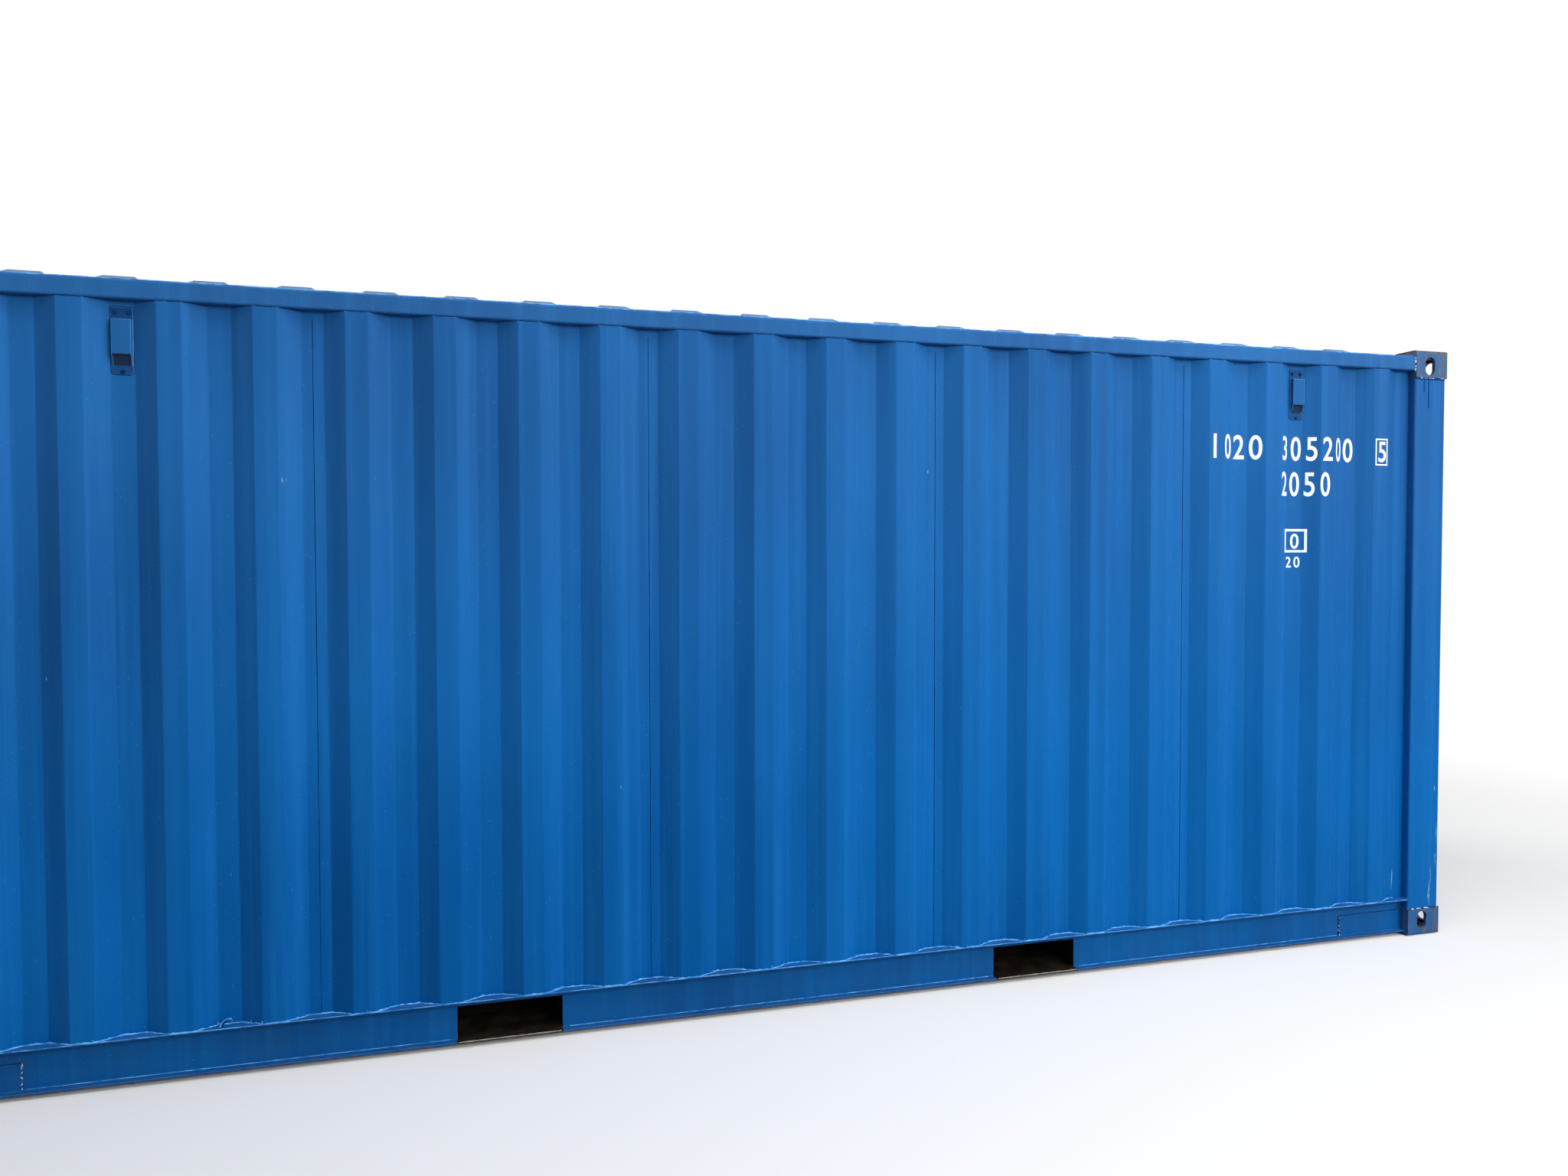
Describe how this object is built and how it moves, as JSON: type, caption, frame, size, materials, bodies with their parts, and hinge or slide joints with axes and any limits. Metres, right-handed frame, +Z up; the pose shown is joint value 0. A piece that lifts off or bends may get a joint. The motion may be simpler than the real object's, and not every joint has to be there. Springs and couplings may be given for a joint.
{
  "type": "shipping container",
  "caption": "Steel dry-cargo container with corrugated walls, corner castings, fork pockets and a pair of doors at one end.",
  "frame": {"origin": "on the ground under the middle of the container, midway between its ends and its sides", "axes": "+X along the length to the blind front end, +Y to the left side, +Z up; the side seen in the picture faces -Y"},
  "size_m": [6.058, 2.438, 2.591],
  "materials": {
    "blue_paint": "semi-gloss blue paint with light dust and a few rust spots",
    "casting_paint": "semi-gloss blue paint on cast steel, rust at the holes and edges",
    "underframe_paint": "dull blue paint with rust and road dirt",
    "plywood": "varnished hardwood plywood",
    "rubber_seal": "matt black seal",
    "galvanised": "dull galvanised steel",
    "stencil_white": "matt white stencil film"
  },
  "bodies": {
    "root": {"casting_front_right_bottom": "casting_paint", "casting_front_right_top": "casting_paint", "casting_front_left_bottom": "casting_paint", "casting_front_left_top": "casting_paint", "casting_rear_right_bottom": "casting_paint", "casting_rear_right_top": "casting_paint", "casting_rear_left_bottom": "casting_paint", "casting_rear_left_top": "casting_paint", "front_post_right": "blue_paint", "front_post_left": "blue_paint", "rear_post_right": "blue_paint", "rear_post_left": "blue_paint", "top_rail_right": "blue_paint", "top_rail_left": "blue_paint", "bottom_rail_right": "blue_paint", "bottom_rail_left": "blue_paint", "front_top_rail": "blue_paint", "front_sill": "blue_paint", "door_header": "blue_paint", "door_sill": "blue_paint", "side_wall_right": "blue_paint", "side_wall_left": "blue_paint", "front_wall": "blue_paint", "roof_sheet": "blue_paint", "roof_end_plates": "blue_paint", "floor_boards": "plywood", "floor_centre_rail": "underframe_paint", "cross_members_front": "underframe_paint", "cross_members_middle": "underframe_paint", "cross_members_rear": "underframe_paint", "fork_pocket_front": "underframe_paint", "fork_pocket_rear": "underframe_paint", "door_right": "blue_paint", "door_left": "blue_paint", "door_gasket": "rubber_seal", "locking_bars_right": "galvanised", "locking_bars_left": "galvanised", "bar_brackets": "galvanised", "cam_keepers": "galvanised", "door_handles": "galvanised", "hinges_right": "blue_paint", "hinges_left": "blue_paint", "vent_right_front": "blue_paint", "vent_right_rear": "blue_paint", "vent_left_front": "blue_paint", "vent_left_rear": "blue_paint"}
  },
  "joints": []
}
